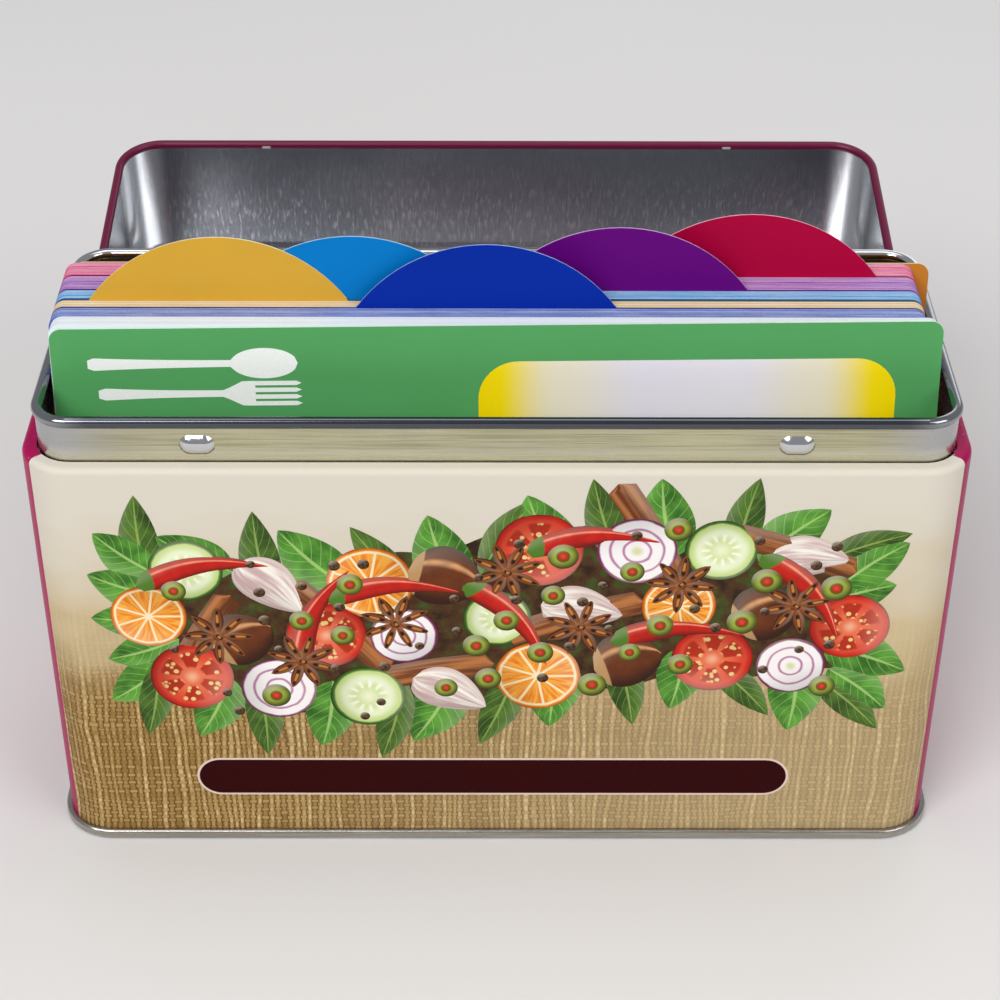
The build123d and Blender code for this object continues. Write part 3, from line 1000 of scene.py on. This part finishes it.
def print_band():
    """A bare band with a keyline, below the garland."""
    keyline_ink = Printed("keyline_ink")
    pale = keyline_ink.noise(keyline_ink.place(), (1, 1, 1))
    keyline_ink.give("Base Color", keyline_ink.mix(pale, "DCC0B2", "E6D0C2"))
    outer_width = band_width + 2 * keyline_width
    outer_height = band_height + 2 * keyline_width
    keyline = rounded_plate("keyline", outer_width, outer_height, outer_height / 2)
    strew("print_band_keyline", keyline, keyline_ink.material, [(band_place, 0, 1, keyline_rise)])
    maroon = Printed("band_ink", shine=0.04)
    cloud = maroon.noise(maroon.place(), (0.1, 0.1, 0.1), 3)
    maroon.give("Base Color", maroon.mix(cloud, "2C0507", "36080A"))
    band = rounded_plate("band", band_width, band_height, band_height / 2)
    strew("print_band", band, maroon.material, [(band_place, 0, 1, band_rise)])


def lay_on_cover(name, plate, material, x, height):
    """Moves a plate's own mesh to its place on the cover card, counted from the card's lower middle."""
    rise = 0.03
    lean = Matrix((Vector((1, 0, 0)), card_back, card_up)).transposed().to_4x4()
    corner = Matrix.Translation((-card_half, 0, 0))
    askew = corner @ Matrix.Rotation(-cover_tilt, 4, "Y") @ corner.inverted()
    foot = card_back * stack_front + card_up * card_foot + Vector((cover_shift * mm, 0, 0))
    spot = Matrix.Translation((x * mm, 0, height * mm)) @ Matrix.Diagonal((1, rise, 1, 1))
    plate.data.transform(Matrix.Translation(foot) @ lean @ askew @ spot)
    plate.name = name
    plate.data.materials.append(material)
    plate.select_set(False)
    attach(plate, "cover_card")


def label_ink():
    """The label field: yellow at both ends, fading to a cool white in the middle."""
    ink = Printed("label_ink")
    field = ink.ramp(
        ink.along, (0, "FFE000"), (0.05, "FFE408"), (0.19, "F2EBD2"), (0.4, "ECE8F2"),
        (0.62, "EEEAF2"), (0.81, "F2EBD2"), (0.95, "FFE408"), (1, "FFE000"),
    )
    ink.give("Base Color", field)
    return ink.material


def handle_width(share, end_slope):
    """A handle, broad and rounded at its end, that narrows to the neck."""
    neck_width = 1.2
    return neck_width * (1 + (1 - share) ** 3) * min(1, 0.6 + end_slope * share)


def spoon_width(share):
    """A handle, then the bowl."""
    bowl_middle = 0.84
    bowl_half = 0.16
    bowl_width = 5.6
    handle_end = 0.9
    oval = 1 - ((share - bowl_middle) / bowl_half) ** 2
    bowl = bowl_width * max(oval, 0) ** 0.5
    return max(bowl, handle_width(share, 14)) if share < handle_end else bowl


def fork_width(share):
    """A handle, then the shoulders of the tines."""
    spread_start = 0.8
    spread_length = 0.12
    spread_width = 3.4
    spread = max(0, min(1, (share - spread_start) / spread_length))
    return handle_width(share, 9) + spread_width * spread


def fork():
    """A handle and four tines."""
    tines = 4
    tine_middle = 17
    tine_pitch = 1.26
    tine_lift = 0.4
    parts = [long_plate("handle", 27, fork_width, columns=24, crown=0)]
    for step in range(tines):
        tine = long_plate("tine", 9, even(0.8, 6), columns=10, crown=0)
        spot = (tine_middle * mm, -tine_lift * mm, (step - (tines - 1) / 2) * tine_pitch * mm)
        tine.data.transform(Matrix.Translation(spot))
        parts.append(tine)
    return joined(parts)


def print_cover_card():
    """The label field at the right, and a plain spoon and fork at the left."""
    label_width = 71.9
    label_height = 38
    label_corner = 7
    label_middle = 32.8
    label_top = 6.7
    spoon_middle = -52
    spoon_top = 6.6
    fork_middle = -55
    fork_top = 12.2
    label = rounded_plate("label", label_width, label_height, label_corner)
    label_place = cover_height - label_top - label_height / 2
    lay_on_cover("cover_card_label", label, label_ink(), label_middle, label_place)
    white = Printed("utensil_ink")
    grain = white.noise(white.place(), (3, 3, 3), 2)
    white.give("Base Color", white.mix(white.step(grain, 0.3, 0.8), "FAFCF8", "F0F6EE"))
    spoon = long_plate("spoon", 36, spoon_width, columns=72, crown=0)
    lay_on_cover("cover_card_spoon", spoon, white.material, spoon_middle, cover_height - spoon_top)
    lay_on_cover("cover_card_fork", fork(), white.material, fork_middle, cover_height - fork_top)


def lamp(name, place, width, power):
    """A soft box that shines at the middle of the tin."""
    tin_middle = Vector((0, 0, 0.05))
    light = bpy.data.lights.new(name, "AREA")
    light.size = width
    light.energy = power
    box = bpy.data.objects.new(name, light)
    bpy.context.scene.collection.objects.link(box)
    aim = tin_middle - Vector(place)
    box.matrix_world = Matrix.Translation(place) @ aim.to_track_quat("-Z", "Y").to_matrix().to_4x4()


def studio():
    """A pale floor, soft boxes (place, width, power) and a plain grey surround."""
    floor_size = 8
    surround_strength = 0.42
    bpy.ops.mesh.primitive_plane_add(size=floor_size)
    floor = bpy.context.object
    floor.name = "studio_floor"
    paper = Finish("floor_paper", roughness=0.8)
    cloud = paper.noise(paper.place(), (0.004, 0.004, 0.004), 2)
    paper.give("Base Color", paper.mix(cloud, "DEDCD9", "E4E2E0"))
    floor.data.materials.append(paper.material)
    floor.select_set(False)
    soft_boxes = {
        "key_soft_box": ((-0.7, -1.1, 1.25), 0.9, 18), "fill_soft_box": ((0.9, -0.8, 0.9), 0.8, 6),
        "top_soft_box": ((0, 0.25, 1.5), 0.8, 4), "back_soft_box": ((0.5, 1.5, 0.5), 0.9, 3),
    }
    for name, (place, width, power) in soft_boxes.items():
        lamp(name, place, width, power)
    world = bpy.data.worlds.new("studio_surround")
    bpy.context.scene.world = world
    world.use_nodes = True
    surround = world.node_tree.nodes["Background"].inputs
    surround["Color"].default_value = paint("E6E8EE")
    surround["Strength"].default_value = surround_strength
    bpy.context.scene.view_settings.view_transform = "Standard"


def camera():
    """The photograph's view: a long lens that looks down on the tin from in front."""
    eye = (-0.00095, -0.34533, 0.30031)
    down = radians(35.356)
    yaw = radians(-0.26)
    roll = radians(0.222)
    lens = bpy.data.cameras.new("view")
    lens.lens = 81.36
    lens.sensor_width = 36
    lens.clip_start = 0.01
    view = bpy.data.objects.new("view", lens)
    bpy.context.scene.collection.objects.link(view)
    turn = Matrix.Rotation(yaw, 4, "Z") @ Matrix.Rotation(pi / 2 - down, 4, "X")
    turn = turn @ Matrix.Rotation(roll, 4, "Z")
    view.matrix_world = Matrix.Translation(eye) @ turn
    bpy.context.scene.camera = view


dress_tin()
dress_cards()
print_garland()
print_band()
print_cover_card()
studio()
camera()
